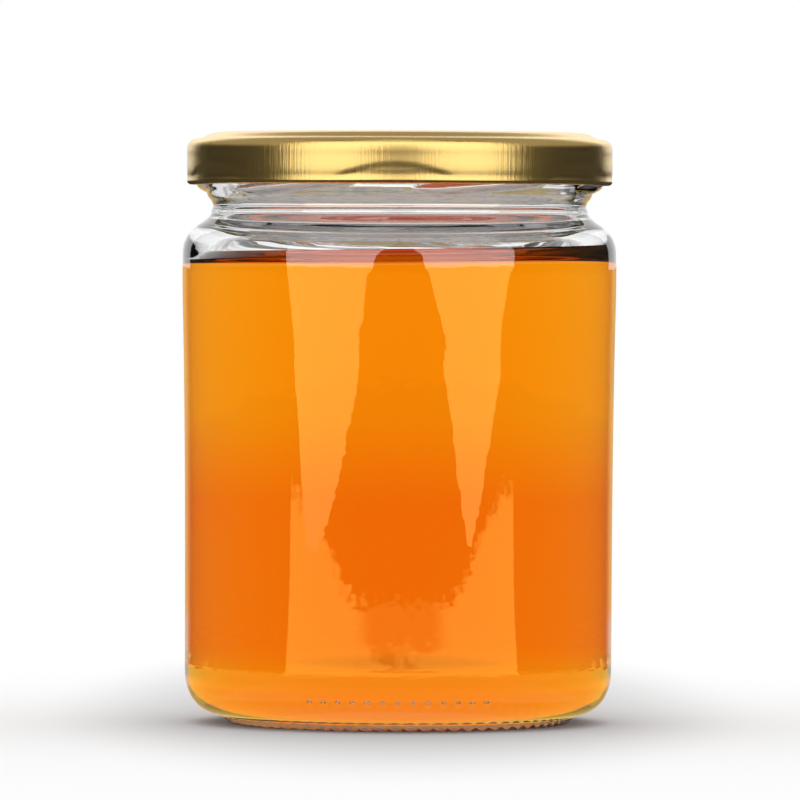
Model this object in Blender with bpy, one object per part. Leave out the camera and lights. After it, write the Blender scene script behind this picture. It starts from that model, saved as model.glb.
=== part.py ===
# A filled glass jar with a twist-off metal lid, built as three solids: the glass, the honey and the lid.
# Metres, +Z up, the origin at the centre of the foot, the front of the jar towards -Y.
# Run with: blender --background --python part.py

import math

import bmesh
import bpy
from mathutils import Matrix

# Driving dimensions of the glass
BODY_RADIUS_LOW = 0.0431  # just above the heel
BODY_RADIUS_HIGH = 0.0438  # just below the shoulder, since the body widens a little upwards
WALL = 0.0024
HEEL_TOP = 0.0106  # where the rounded heel meets the body
HEEL_LOW = 0.0017
HEEL_TURN = 0.0075  # how far the heel rounds in
HEEL_SQUARENESS = 2.12  # 2 would be a true ellipse
SHOULDER_FOOT = 0.0943  # where the body starts to turn in
SHOULDER_TURN = 0.00595
SHOULDER_RISE = 0.0069
NECK_RADIUS = 0.0377
BEAD_RADIUS = 0.03805
FINISH_RADIUS = 0.0394  # wall that carries the threads
BORE_RADIUS = 0.0361
NECK_BORE_RADIUS = 0.0355
RIM_TOP = 0.11835
FLOOR_EDGE = 0.0051  # height of the inner floor at its edge
FLOOR_CROWN = 0.0064  # and in the middle
UNDERSIDE_CROWN = 0.0031
INNER_HEEL_TOP = 0.0130
INNER_HEEL_TURN = 0.0092

# Foot: a ring of small pads that the jar stands on
FOOT_OUTER = 0.0342
FOOT_INNER = 0.0325
FOOT_TOP_OUTER = 0.0351
FOOT_TOP_INNER = 0.0316
FOOT_HEIGHT = 0.0010
PAD_RELIEF = 0.0004  # depth of the grooves between the pads
PAD_SLANT = math.radians(1.6)  # how far a pad leans round the ring

# A row of small dots raised on the heel, in the middle of the front
DOTS = 13
DOT_PITCH = 0.0030
DOT_HEIGHT = 0.0058
DOT_RADIUS = 0.00055
DOT_RELIEF = 0.00022
DOT_DEPTH = 0.0008  # how deep a dot's root sits in the glass

# Threads: one short start for each lug
STARTS = 6
THREAD_REACH = 0.0410  # radius of the crest
THREAD_ROOT = 0.0390  # the ridge begins a little inside the wall
THREAD_WIDTH = 0.0023
THREAD_LOW = 0.1061  # lower edge at its lowest
THREAD_TIP = math.radians(-55)  # the low end of the first start, measured from the front
THREAD_SPAN = math.radians(62)
THREAD_CLIMB = 0.0039  # the even climb along the span
RAMP_START, RAMP_END = 0.62, 0.80  # shares of the span where the thread steps up, clear of the next lug
RAMP_RISE = 0.0012

# Lid: pressed sheet with a raised ring, a rounded shoulder and a curled lower edge
LID_RADIUS = 0.0429
LID_TOP = 0.1191
LID_BOTTOM = 0.1085
SHEET = 0.0004
PANEL_DROP = 0.00095
RING_INNER = 0.0334
RING_OUTER = 0.0375
CURL = 0.00145  # width of the rolled edge
LUG_ANGLE = math.radians(0)  # the first lug, measured from the front
LUG_HALF_WIDTH = math.radians(4.5)
LUG_REACH = 0.03985
LUG_THICKNESS = 0.00085

# Honey
CLEARANCE = 0.0003  # air left between the honey's solid and the glass
HONEY_LEVEL = 0.0926
HONEY_EDGE_RADIUS = 0.0405  # the wall of the shoulder at the honey's highest line
MENISCUS_RISE = 0.0029  # how far the honey climbs the wall
MENISCUS_LENGTH = 0.0015
HONEY_LEAN = math.radians(0.8)  # the surface stands a little higher on the right

SEGMENTS = 72
PAD_CORNERS = 3  # corners of the foot's outline for each pad: two on the pad and one in its groove
HONEY_SEGMENTS = 48

COLOURS = {
    "clear glass": ((0.90, 0.93, 0.92, 1.0), 0.03, 0.0),
    "amber honey": ((0.90, 0.38, 0.02, 1.0), 0.05, 0.0),
    "gold lacquered sheet": ((0.78, 0.56, 0.22, 1.0), 0.28, 1.0),
}


def clear_scene():
    for thing in list(bpy.data.objects):
        bpy.data.objects.remove(thing, do_unlink=True)


def material(name):
    colour, roughness, metallic = COLOURS[name]
    made = bpy.data.materials.new(name)
    made.use_nodes = True
    shader = made.node_tree.nodes["Principled BSDF"]
    shader.inputs["Base Color"].default_value = colour
    shader.inputs["Roughness"].default_value = roughness
    shader.inputs["Metallic"].default_value = metallic
    made.diffuse_color = colour
    return made


def object_from(mesh, name, finish):
    data = bpy.data.meshes.new(name)
    mesh.to_mesh(data)
    mesh.free()
    made = bpy.data.objects.new(name, data)
    bpy.context.scene.collection.objects.link(made)
    if finish:
        data.materials.append(material(finish))
    data.shade_smooth()
    data.set_sharp_from_angle(angle=math.radians(35))
    return made


# Profiles are lists of (radius, height)


def arc(centre, radii, start, end, count, power=2.0):
    """Points of an ellipse, or with a higher power a squarer curve, between two angles in degrees."""
    points = []
    for step in range(count):
        angle = math.radians(start + (end - start) * step / (count - 1))
        across = math.copysign(abs(math.cos(angle)) ** (2 / power), math.cos(angle))
        up = math.copysign(abs(math.sin(angle)) ** (2 / power), math.sin(angle))
        points.append((centre[0] + radii[0] * across, centre[1] + radii[1] * up))
    return points


def outer_glass():
    """The outside of the glass from the top of the foot to the rim."""
    heel_centre = (BODY_RADIUS_LOW - HEEL_TURN, HEEL_TOP)
    heel = arc(heel_centre, (HEEL_TURN, HEEL_TOP - HEEL_LOW), -84, 0, 7, HEEL_SQUARENESS)
    shoulder_centre = (BODY_RADIUS_HIGH - SHOULDER_TURN, SHOULDER_FOOT)
    shoulder = arc(shoulder_centre, (SHOULDER_TURN, SHOULDER_RISE), 0, 66, 5)
    neck = [
        (0.0385, 0.1021),
        (BEAD_RADIUS, 0.1030),
        (BEAD_RADIUS, 0.1034),
        (NECK_RADIUS, 0.1039),
        (NECK_RADIUS, 0.1046),
        (0.0382, 0.1054),
        (0.0388, 0.1064),
        (FINISH_RADIUS, 0.1078),
    ]
    return heel + shoulder + neck


def rim():
    """Round the lip, from the outside of the finish to its bore."""
    return [
        (FINISH_RADIUS, 0.1162),
        (0.0389, 0.1173),
        (0.0382, 0.11805),
        (0.0374, RIM_TOP),
        (0.0366, 0.1181),
        (BORE_RADIUS, 0.1172),
    ]


def inner_glass():
    """The inside of the glass from the bore down to the middle of its floor."""
    high, low = BODY_RADIUS_HIGH - WALL, BODY_RADIUS_LOW - WALL
    neck = [(NECK_BORE_RADIUS, 0.1032), (0.0357, 0.1007)]
    shoulder = arc((high - 0.0051, SHOULDER_FOOT - 0.0007), (0.0051, 0.0056), 78, 0, 5)
    heel_centre = (low - INNER_HEEL_TURN, INNER_HEEL_TOP)
    heel = arc(heel_centre, (INNER_HEEL_TURN, INNER_HEEL_TOP - FLOOR_EDGE), 0, -82, 4)
    return neck + shoulder + heel + [(0.018, 0.0060), (0.0, FLOOR_CROWN)]


def underside():
    """Below the floor, from its middle out to the inside of the foot."""
    return [(0.0, UNDERSIDE_CROWN), (0.018, 0.0027), (0.0303, 0.0018), (FOOT_TOP_INNER, FOOT_HEIGHT)]


# Turned solids are built ring by ring


def ring(mesh, radius, height, count, turn=0.0):
    """One ring of points. height is a number, or a function of the point's number."""
    points = []
    for step in range(count):
        angle = math.tau * step / count + turn
        rise = height(step) if callable(height) else height
        points.append(mesh.verts.new((radius * math.sin(angle), -radius * math.cos(angle), rise)))
    return points


def join_rings(mesh, first, second):
    """Faces between two rings, where one may have a whole multiple of the other's points."""
    if len(first) > len(second):
        first, second = second, first
    many = len(second) // len(first)
    for step in range(len(first)):
        here, after = first[step], first[(step + 1) % len(first)]
        edge = [second[(many * step + k) % len(second)] for k in range(many + 1)]
        if many == 1:
            mesh.faces.new((here, edge[0], edge[1], after))
            continue
        half = many // 2
        for k in range(many):
            mesh.faces.new((here if k < half else after, edge[k], edge[k + 1]))
        mesh.faces.new((here, edge[half], after))


def cap(mesh, points, height):
    """Closes a ring to one point on the axis."""
    middle = mesh.verts.new((0, 0, height))
    for step, point in enumerate(points):
        mesh.faces.new((point, points[(step + 1) % len(points)], middle))


def turn_profile(mesh, profile, count):
    """Rings for each point of a profile, joined in order. Ends on the axis become caps."""
    rings = []
    for radius, height in profile:
        rings.append(ring(mesh, radius, height, count) if radius > 0 else height)
    for before, after in zip(rings, rings[1:]):
        if isinstance(before, float):
            cap(mesh, after, before)
        elif isinstance(after, float):
            cap(mesh, before, after)
        else:
            join_rings(mesh, before, after)
    return rings


def foot_pads(mesh, inside, outside):
    """The ring of pads that the jar stands on, between the rings inside and outside it."""
    count = SEGMENTS * PAD_CORNERS

    def pad_height(step):
        return 0.0 if step % PAD_CORNERS < PAD_CORNERS - 1 else PAD_RELIEF

    inner = ring(mesh, FOOT_INNER, pad_height, count, -PAD_SLANT / 2)
    outer = ring(mesh, FOOT_OUTER, pad_height, count, PAD_SLANT / 2)
    join_rings(mesh, inside, inner)
    join_rings(mesh, inner, outer)
    join_rings(mesh, outer, outside)


def turned_glass():
    mesh = bmesh.new()
    under = turn_profile(mesh, underside(), SEGMENTS)
    wall_profile = [(FOOT_TOP_OUTER, FOOT_HEIGHT)] + outer_glass() + rim() + inner_glass()
    wall = turn_profile(mesh, wall_profile, SEGMENTS)
    foot_pads(mesh, under[-1], wall[0])
    bmesh.ops.recalc_face_normals(mesh, faces=mesh.faces)
    return object_from(mesh, "glass_jar", "clear glass")


# Swept ridges: the threads of the glass and the lugs of the lid


def swept_ridge(name, sections):
    """A closed solid through cross-sections, each a list of (angle from the front, radius, height)."""
    mesh = bmesh.new()
    loops = []
    for section in sections:
        loop = [mesh.verts.new((r * math.sin(a), -r * math.cos(a), z)) for a, r, z in section]
        loops.append(loop)
    size = len(loops[0])
    for before, after in zip(loops, loops[1:]):
        for k in range(size):
            mesh.faces.new((before[k], before[(k + 1) % size], after[(k + 1) % size], after[k]))
    mesh.faces.new(loops[0])
    mesh.faces.new(loops[-1])
    bmesh.ops.recalc_face_normals(mesh, faces=mesh.faces)
    return object_from(mesh, name, None)


def thread_rise(share):
    """How far a thread's lower edge has risen at a share of its span: an even climb with one soft step."""
    ramp = min(max((share - RAMP_START) / (RAMP_END - RAMP_START), 0.0), 1.0)
    return THREAD_CLIMB * max(share - 0.12, 0.0) + RAMP_RISE * ramp * ramp * (3 - 2 * ramp)


def thread_sections(tip):
    """Cross-sections of one thread, from its low tip up to its entry. Each end tapers to a small stub."""
    count = 9
    sections = []
    for step in range(count):
        share = step / (count - 1)
        angle = tip + THREAD_SPAN * share
        full = min(1.0, 0.25 + 5.0 * share, 0.25 + 6.0 * (1 - share))
        middle = THREAD_LOW + thread_rise(share) + THREAD_WIDTH / 2
        half = THREAD_WIDTH / 2 * full
        crest = FINISH_RADIUS + (THREAD_REACH - FINISH_RADIUS) * full
        flank = FINISH_RADIUS + (crest - FINISH_RADIUS) * 0.55
        lower = [(THREAD_ROOT, -1.0), (flank, -0.92), (crest, -0.35)]
        upper = [(radius, -side) for radius, side in reversed(lower)]
        sections.append([(angle, radius, middle + half * side) for radius, side in lower + upper])
    return sections


def lug_sections(middle_angle):
    """Cross-sections of one lug: a flat tongue that reaches in from the curl, rounded off at both ends."""
    reach_shares = (0.35, 0.85, 1.0, 0.85, 0.35)
    root = LID_RADIUS - CURL + 0.0006
    low = LID_BOTTOM + 0.0001
    high = low + LUG_THICKNESS
    sections = []
    for step, share in enumerate(reach_shares):
        angle = middle_angle + LUG_HALF_WIDTH * (2 * step / (len(reach_shares) - 1) - 1)
        tip = root - (root - LUG_REACH) * share
        edge = tip + 0.0003
        outline = [(root, low), (edge, low), (tip, (low + high) / 2), (edge, high), (root, high)]
        sections.append([(angle, radius, height) for radius, height in outline])
    return sections


def fuse(target, pieces):
    """Joins pieces to target with one Boolean union, then removes them."""
    together = bpy.data.collections.new(target.name + "_pieces")
    bpy.context.scene.collection.children.link(together)
    for piece in pieces:
        bpy.context.scene.collection.objects.unlink(piece)
        together.objects.link(piece)
    union = target.modifiers.new("join", "BOOLEAN")
    union.operation = "UNION"
    union.operand_type = "COLLECTION"
    union.collection = together
    union.solver = "EXACT"
    bpy.context.view_layer.objects.active = target
    bpy.ops.object.modifier_apply(modifier=union.name)
    for piece in pieces:
        bpy.data.objects.remove(piece, do_unlink=True)
    bpy.data.collections.remove(together)


def heel_at(height):
    """Radius of the heel at a height, and the angle that its surface there faces below the level."""
    profile = outer_glass()
    for (low_r, low_z), (high_r, high_z) in zip(profile, profile[1:]):
        if low_z <= height <= high_z:
            share = (height - low_z) / (high_z - low_z)
            return low_r + (high_r - low_r) * share, math.atan2(high_r - low_r, high_z - low_z)
    raise ValueError("the dots stand off the heel")


def heel_dot(number):
    """A low stud that stands square on the curve of the heel."""
    radius, droop = heel_at(DOT_HEIGHT)
    mesh = bmesh.new()
    bmesh.ops.create_cone(
        mesh, cap_ends=True, segments=8,
        radius1=DOT_RADIUS * 1.2, radius2=DOT_RADIUS * 0.6, depth=DOT_DEPTH + DOT_RELIEF,
    )
    upright = Matrix.Translation((0, 0, (DOT_RELIEF - DOT_DEPTH) / 2))
    tipped = Matrix.Rotation(math.pi / 2 + droop, 4, "X")
    placed = Matrix.Translation((0, -radius, DOT_HEIGHT))
    turned = Matrix.Rotation((number - (DOTS - 1) / 2) * DOT_PITCH / radius, 4, "Z")
    bmesh.ops.transform(mesh, matrix=turned @ placed @ tipped @ upright, verts=mesh.verts)
    return object_from(mesh, f"dot_{number}", None)


def glass_jar():
    glass = turned_glass()
    raised = [heel_dot(number) for number in range(DOTS)]
    for number in range(STARTS):
        tip = THREAD_TIP + math.tau * number / STARTS
        raised.append(swept_ridge(f"thread_{number}", thread_sections(tip)))
    fuse(glass, raised)
    return glass


def lid_outside():
    """The outside of the lid from the middle of its panel to the bottom of the curl."""
    panel = LID_TOP - PANEL_DROP
    return [
        (0.0, panel),
        (RING_INNER - 0.0014, panel),
        (RING_INNER - 0.0008, panel + 0.0003),
        (RING_INNER - 0.0002, LID_TOP - 0.0001),
        (RING_INNER + 0.0006, LID_TOP),
        (RING_OUTER, LID_TOP),
        (0.0386, 0.11875),
        (0.0394, 0.1181),
        (0.0402, 0.11775),
    ] + arc((0.0411, 0.1158), (LID_RADIUS - 0.0411, 0.0018), 90, 0, 4) + [
        (LID_RADIUS, LID_BOTTOM + 0.0008),
        (LID_RADIUS - 0.0002, LID_BOTTOM + 0.0002),
        (LID_RADIUS - 0.0007, LID_BOTTOM),
    ]


def lid_inside():
    """The inside of the lid from the curl back to the middle of its panel, one sheet thickness in."""
    panel = LID_TOP - PANEL_DROP - SHEET
    skirt = LID_RADIUS - SHEET
    return [
        (LID_RADIUS - CURL, LID_BOTTOM + 0.0006),
        (LID_RADIUS - CURL + 0.0002, LID_BOTTOM + 0.0013),
        (skirt, LID_BOTTOM + 0.0018),
    ] + arc((0.0411, 0.1158), (skirt - 0.0411, 0.0014), 0, 90, 3) + [
        (0.0399, 0.1174),
        (0.0384, 0.1184),
        (RING_OUTER - 0.0002, LID_TOP - SHEET),
        (RING_INNER + 0.0003, LID_TOP - SHEET),
        (RING_INNER - 0.0007, panel),
        (0.0, panel),
    ]


def lid():
    mesh = bmesh.new()
    turn_profile(mesh, lid_outside() + lid_inside(), SEGMENTS)
    bmesh.ops.recalc_face_normals(mesh, faces=mesh.faces)
    made = object_from(mesh, "lid", "gold lacquered sheet")
    lugs = []
    for number in range(STARTS):
        angle = LUG_ANGLE + math.tau * number / STARTS
        lugs.append(swept_ridge(f"lug_{number}", lug_sections(angle)))
    fuse(made, lugs)
    return made


def honey_side():
    """The honey's side from the middle of the floor up to where it climbs highest."""
    side = []
    for radius, height in reversed(inner_glass()):
        if height < SHOULDER_FOOT:
            inwards = CLEARANCE if height > FLOOR_CROWN else 0.0
            lift = CLEARANCE if height < INNER_HEEL_TOP - 0.0005 else 0.0
            side.append((max(radius - inwards, 0.0), height + lift))
    return side + [(HONEY_EDGE_RADIUS, HONEY_LEVEL + MENISCUS_RISE)]


def honey_surface():
    """The honey's top from the wall in to the middle, dipping from the meniscus to the level."""
    points = []
    for depth in (0.0005, 0.0012, 0.0022, 0.0040):
        climb = MENISCUS_RISE * math.exp(-depth / MENISCUS_LENGTH)
        points.append((HONEY_EDGE_RADIUS - depth, HONEY_LEVEL + climb))
    return points + [(0.030, HONEY_LEVEL), (0.0, HONEY_LEVEL)]


def honey():
    mesh = bmesh.new()
    turn_profile(mesh, honey_side() + honey_surface(), HONEY_SEGMENTS)
    for point in mesh.verts:
        if point.co.z > HONEY_LEVEL - 0.0001:
            point.co.z += point.co.x * math.tan(HONEY_LEAN)
    bmesh.ops.recalc_face_normals(mesh, faces=mesh.faces)
    return object_from(mesh, "honey", "amber honey")


def main():
    clear_scene()
    glass_jar()
    honey()
    lid()


main()
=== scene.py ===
# A jar of honey with a gold twist-off lid, laid out as a Blender add-on.
# Every length is in metres, +Z is up, and the jar's shown front faces -Y.

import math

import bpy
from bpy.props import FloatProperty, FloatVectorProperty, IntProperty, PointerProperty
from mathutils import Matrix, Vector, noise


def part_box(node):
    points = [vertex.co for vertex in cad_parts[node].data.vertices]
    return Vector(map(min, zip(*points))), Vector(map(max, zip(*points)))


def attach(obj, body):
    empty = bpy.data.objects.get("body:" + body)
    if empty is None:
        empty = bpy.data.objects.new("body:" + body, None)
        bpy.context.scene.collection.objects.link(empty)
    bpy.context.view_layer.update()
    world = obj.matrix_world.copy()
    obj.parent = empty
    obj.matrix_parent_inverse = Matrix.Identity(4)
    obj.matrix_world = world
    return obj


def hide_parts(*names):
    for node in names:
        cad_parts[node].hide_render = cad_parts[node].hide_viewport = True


bl_info = {
    "name": "Honey Jar",
    "version": (1, 0, 0),
    "blender": (4, 5, 0),
    "location": "3D View > Sidebar > Honey Jar",
    "description": "Adds a filled glass jar, its honey, its gold lid and a plain stage",
    "category": "Add Mesh",
}

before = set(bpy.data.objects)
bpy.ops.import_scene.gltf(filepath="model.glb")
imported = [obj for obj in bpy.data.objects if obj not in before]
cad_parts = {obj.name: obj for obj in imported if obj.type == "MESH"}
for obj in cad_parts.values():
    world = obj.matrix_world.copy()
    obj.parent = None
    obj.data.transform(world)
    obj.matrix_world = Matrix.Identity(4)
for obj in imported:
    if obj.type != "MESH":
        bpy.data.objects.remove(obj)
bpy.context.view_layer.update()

MM = 0.001

# Sizes that the fixed solids give
_, GLASS_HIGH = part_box("glass_jar")
LID_LOW, LID_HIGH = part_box("lid")
BODY_RADIUS = GLASS_HIGH[0]
RIM_TOP = GLASS_HIGH[2]
LID_RADIUS = LID_HIGH[0]
LID_TOP = LID_HIGH[2]
LID_BOTTOM = LID_LOW[2]


class GlassSettings(bpy.types.PropertyGroup):
    """Sizes and colour of the glass."""

    body_radius: FloatProperty(
        name="Body radius", description="Widest radius, just under the shoulder",
        default=BODY_RADIUS, unit="LENGTH")
    low_radius: FloatProperty(
        name="Low radius", description="Radius of the body just above its heel",
        default=0.0431, unit="LENGTH")
    wall: FloatProperty(
        name="Wall", description="Thickness of the body's wall", default=0.0024, unit="LENGTH")
    steps: IntProperty(
        name="Steps", description="Points round the jar, a multiple of the pads", default=360)
    starts: IntProperty(name="Thread starts", description="Short threads round the neck", default=6)
    thread_reach: FloatProperty(
        name="Thread reach", description="Radius of a thread's crest", default=0.0410, unit="LENGTH")
    pads: IntProperty(name="Foot pads", description="Small pads round the foot", default=72)
    pad_relief: FloatProperty(
        name="Pad relief", description="Depth between the pads", default=0.0006, unit="LENGTH")
    dots: IntProperty(name="Heel dots", description="Dots in the row on the heel", default=13)
    tint: FloatVectorProperty(
        name="Tint", description="Colour that the clear glass gives", subtype="COLOR",
        size=4, min=0, max=1, default=(0.985, 0.99, 0.988, 1))


class HoneySettings(bpy.types.PropertyGroup):
    """Level and colour of the honey."""

    level: FloatProperty(
        name="Level", description="Height of the surface in the middle", default=0.0926, unit="LENGTH")
    rise: FloatProperty(
        name="Rise", description="How far the honey climbs the glass", default=0.0029, unit="LENGTH")
    curl: FloatProperty(
        name="Curl", description="How far in from the glass the climb dies away",
        default=0.0015, unit="LENGTH")
    lean: FloatProperty(
        name="Lean", description="Tilt of the surface towards the left",
        default=math.radians(0.8), subtype="ANGLE")
    reach: FloatProperty(
        name="Reach", description="How far the honey goes into the wall, so that no gap shows",
        default=0.00008, unit="LENGTH")
    colour: FloatVectorProperty(
        name="Colour", description="Colour of light that the honey lets through", subtype="COLOR",
        size=4, min=0, max=1, default=(0.9947, 0.873, 0.0, 1))
    density: FloatProperty(name="Density", description="Strength of the absorption", default=125.0)
    warmth: FloatVectorProperty(
        name="Warmth", description="Colour of the light that the honey's skin returns",
        subtype="COLOR", size=4, min=0, max=1, default=(1.0, 0.93, 0.62, 1))


class LidSettings(bpy.types.PropertyGroup):
    """Sizes and colours of the lid."""

    radius: FloatProperty(
        name="Radius", description="Outside of the skirt", default=LID_RADIUS, unit="LENGTH")
    sheet: FloatProperty(
        name="Sheet", description="Thickness of the metal", default=0.00032, unit="LENGTH")
    lugs: IntProperty(name="Lugs", description="Lugs round the curled edge", default=6)
    gold: FloatVectorProperty(
        name="Gold", description="Colour of the lacquer over bare metal", subtype="COLOR",
        size=4, min=0, max=1, default=(1.0, 0.69, 0.23, 1))
    roughness: FloatProperty(
        name="Roughness", description="Blur of the lacquer's shine", default=0.26, subtype="FACTOR")


class StageSettings(bpy.types.PropertyGroup):
    """Light and floor round the jar."""

    white: FloatProperty(
        name="Background", description="Brightness of the white background", default=1.0)
    softbox: FloatProperty(
        name="Softboxes", description="Brightness of the two front softboxes", default=1.0)
    table_shine: FloatProperty(
        name="Table shine", description="Brightness of the lit table in sharp shine", default=3.0)
    overhead: FloatProperty(
        name="Overhead", description="Power of the wide light above, in watts", default=3.0)
    ambient: FloatProperty(
        name="Ambient", description="Even light that falls on the floor", default=1.02)
    through: FloatProperty(
        name="Light through", description="Brightness of the surroundings that the jar lets through",
        default=1.05)
    fill: FloatProperty(
        name="Fill", description="Brightness between the softboxes in the lid's blurred shine", default=0.65)


# Turned shapes

WELD = 2e-6  # points closer than this become one


def start_afresh():
    """Leaves edit mode and deselects everything, so that an operator acts on its own piece alone."""
    if bpy.context.mode != "OBJECT":
        bpy.ops.object.mode_set(mode="OBJECT")
    bpy.ops.object.select_all(action="DESELECT")


def curve_through(points, spacing):
    """A smooth line through points of (radius, height). spacing gives the step wanted at a place."""
    points = [Vector(point) for point in points]
    chords = [end - start for start, end in zip(points, points[1:])]
    turns = [chords[0].normalized()]
    for before, after in zip(chords, chords[1:]):
        near = before / before.length * after.length + after / after.length * before.length
        turns.append(near / (before.length + after.length))
    turns.append(chords[-1].normalized())
    line = [points[0]]
    for start, end, leave, arrive in zip(points, points[1:], turns, turns[1:]):
        length = (end - start).length
        count = max(1, math.ceil(length / spacing(*((start + end) / 2))))
        for step in range(1, count + 1):
            t = step / count
            bend = (t ** 3 - 2 * t * t + t) * leave + (t ** 3 - t * t) * arrive
            line.append(start + (3 * t * t - 2 * t ** 3) * (end - start) + length * bend)
    return line


def ellipse(centre, radii, start, end, count, power=2.0):
    """Points of an ellipse between two angles in degrees. A higher power makes it squarer."""
    points = []
    for step in range(count):
        angle = math.radians(start + (end - start) * step / (count - 1))
        across = math.copysign(abs(math.cos(angle)) ** (2 / power), math.cos(angle))
        up = math.copysign(abs(math.sin(angle)) ** (2 / power), math.sin(angle))
        points.append((centre[0] + radii[0] * across, centre[1] + radii[1] * up))
    return points


def spin_outline(name, outline, steps):
    """Draws an outline of (radius, height) point by point and spins it into a closed solid."""
    start_afresh()
    bpy.ops.mesh.primitive_plane_add(size=0.01)
    made = bpy.context.object
    made.name = name
    bpy.ops.object.mode_set(mode="EDIT")
    bpy.ops.mesh.select_mode(type="VERT")
    bpy.ops.mesh.merge(type="CENTER")
    radius, height = outline[0]
    bpy.ops.transform.translate(value=(0, -radius, height))
    for (last_r, last_z), (next_r, next_z) in zip(outline, outline[1:]):
        move = {"value": (0, last_r - next_r, next_z - last_z)}
        bpy.ops.mesh.extrude_region_move(TRANSFORM_OT_translate=move)
    bpy.ops.mesh.select_all(action="SELECT")
    bpy.ops.mesh.spin(steps=steps, angle=math.tau, center=(0, 0, 0), axis=(0, 0, 1))
    bpy.ops.mesh.select_all(action="SELECT")
    bpy.ops.mesh.remove_doubles(threshold=WELD)
    bpy.ops.mesh.normals_make_consistent(inside=False)
    bpy.ops.object.mode_set(mode="OBJECT")
    bpy.ops.object.shade_smooth()
    return made


def bearing(point):
    """Angle of a point round the jar, 0 at the shown front and growing to the right."""
    return math.atan2(point.x, -point.y)


def set_polar(point, angle, radius, height):
    point.x, point.y, point.z = radius * math.sin(angle), -radius * math.cos(angle), height


def ease(value):
    """A soft step from 0 to 1."""
    value = min(max(value, 0.0), 1.0)
    return value * value * (3 - 2 * value)


def hand_over(piece, node, material):
    """Gives a finished piece its material, hangs it under the root body and hides the solid it stands for.
    """
    piece.data.materials.append(material)
    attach(piece, "root")
    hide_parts(node)


# The glass

# Steps along the outline: under the base, then as (height up to which it holds, step), then above
BASE_RADIUS, BASE_STEP = 28 * MM, 5.0 * MM
GLASS_STEPS = ((1.6 * MM, 0.3 * MM), (14 * MM, 1.0 * MM), (92 * MM, 4.0 * MM), (105 * MM, 0.55 * MM))
BORE_STEP, THREADS_STEP, RIM_STEP = 1.5 * MM, 0.3 * MM, 1.2 * MM
THREADS_TOP = 111.5 * MM

# The foot's ring of pads
FOOT_MIDDLE = 33.55 * MM  # radius on which the pads stand
FOOT_HALF = 1.9 * MM
FOOT_TOP = 1.6 * MM
PAD_SLANT = 2.4  # how far the grooves run round while they cross the ring
PAD_CURVE = 2.0
PAD_GROOVE = 1.6  # a higher power gives narrower grooves
PAD_FADE = 0.8

# The threads. A place along one is a share of its length
NECK_RADIUS = 39.4 * MM
NECK_WALL = 37.5 * MM  # outside this radius lies the neck's outer wall
NECK_LOW, NECK_HIGH = 105.4 * MM, 114 * MM
THREAD_LOW = 106.1 * MM
THREAD_WIDTH = 2.5 * MM
THREAD_TIP = math.radians(-55.5)
THREAD_SPAN = math.radians(62)
THREAD_CLIMB = 3.9 * MM
THREAD_LEVEL = 0.1  # a thread runs level up to here
THREAD_STEP = 1.2 * MM
STEP_START, STEP_LENGTH = 0.62, 0.18
RUN_IN, RUN_OUT = 0.17, 0.2  # the ends swell and die away over these
THIN_END = 0.05
END_LIFT = 0.25 * MM
THREAD_ROUND = 0.75

# The row of dots on the heel
DOT_PITCH = 3.0 * MM
DOT_HEIGHT = 5.8 * MM
DOT_RADIUS = 0.72 * MM
DOT_RELIEF = 0.42 * MM
DOT_ROUND = 0.7
DOT_STRETCH = 1.15  # makes up for the heel's slope
DOT_DROP = 0.55  # how far down the dots point
DOT_CUTS = 3
DOT_MARGIN, DOT_BELT = 1.5 * MM, 1.6 * MM  # refined beside the row, and above and below it
HEEL_RADIUS, HEEL_INSIDE = 42.1 * MM, 40 * MM

# The uneven thickness of the pressed wall
WAVE = 0.035 * MM
WAVE_TURN, WAVE_CLIMB = 2.3, 28  # how quickly it changes round the jar and per metre up
WAVE_RADIUS = 20 * MM  # the floor inside this radius stays even
INNER_SHARE, INNER_RADIUS, INNER_TOP, INNER_FADE = 2.2, 42 * MM, 99 * MM, 6 * MM
OUTER_SHARE, OUTER_LOW, OUTER_TOP, OUTER_FADE = 0.4, 3 * MM, 104 * MM, 4 * MM

# Where the glass changes its finish
FLOOR_LOW = 4.8 * MM  # no part of the inside lies below this
STIPPLE_TOP = 1.5 * MM
WET, STIPPLED = 1, 2  # places of those materials on the piece


def wall_line(glass, depth):
    """The body's slightly waisted side, as far inside its surface as depth says."""
    low, spread = glass.low_radius, glass.body_radius - glass.low_radius
    return [(low + share * spread - depth, height * MM)
            for share, height in ((0.05, 38), (0.22, 56), (0.55, 73), (1.0, 90))]


def outer_line(glass):
    """The outside of the glass from the middle of its underside up to the rim."""
    low, high = glass.low_radius, glass.body_radius
    under = [(0, 3.1), (10, 3.0), (20, 2.65), (28, 2.1), (31, 1.65)]
    foot = [(32.0, 0.95), (32.8, 0.25), (33.5, 0.0), (34.2, 0.12), (34.8, 0.55), (35.3, 1.15)]
    heel = ellipse((low - 7.5 * MM, 10.6 * MM), (7.5 * MM, 8.9 * MM), -80, 0, 9, power=2.12)
    shoulder = [
        (43.72, 95.4), (43.55, 96.4), (43.2, 97.4), (42.6, 98.5), (41.8, 99.4), (40.8, 100.25),
        (39.5, 101.15), (38.6, 101.9), (38.15, 102.4), (38.0, 102.75), (38.0, 103.35),
        (37.85, 103.6), (37.7, 103.9), (37.7, 104.65), (37.82, 104.95), (38.1, 105.35), (38.45, 105.75),
        (38.7, 106.2), (39.05, 107.1), (39.35, 108.0), (39.4, 109), (39.4, 112), (39.4, 116.2),
        (38.95, 117.3), (38.2, 118.05),
    ]
    scaled = [(r * MM, z * MM) for r, z in under + foot] + heel
    body = [(low, 13 * MM), (low, 16 * MM)] + wall_line(glass, 0) + [(high, 93.5 * MM)]
    return scaled + body + [(r * MM, z * MM) for r, z in shoulder]


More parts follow.
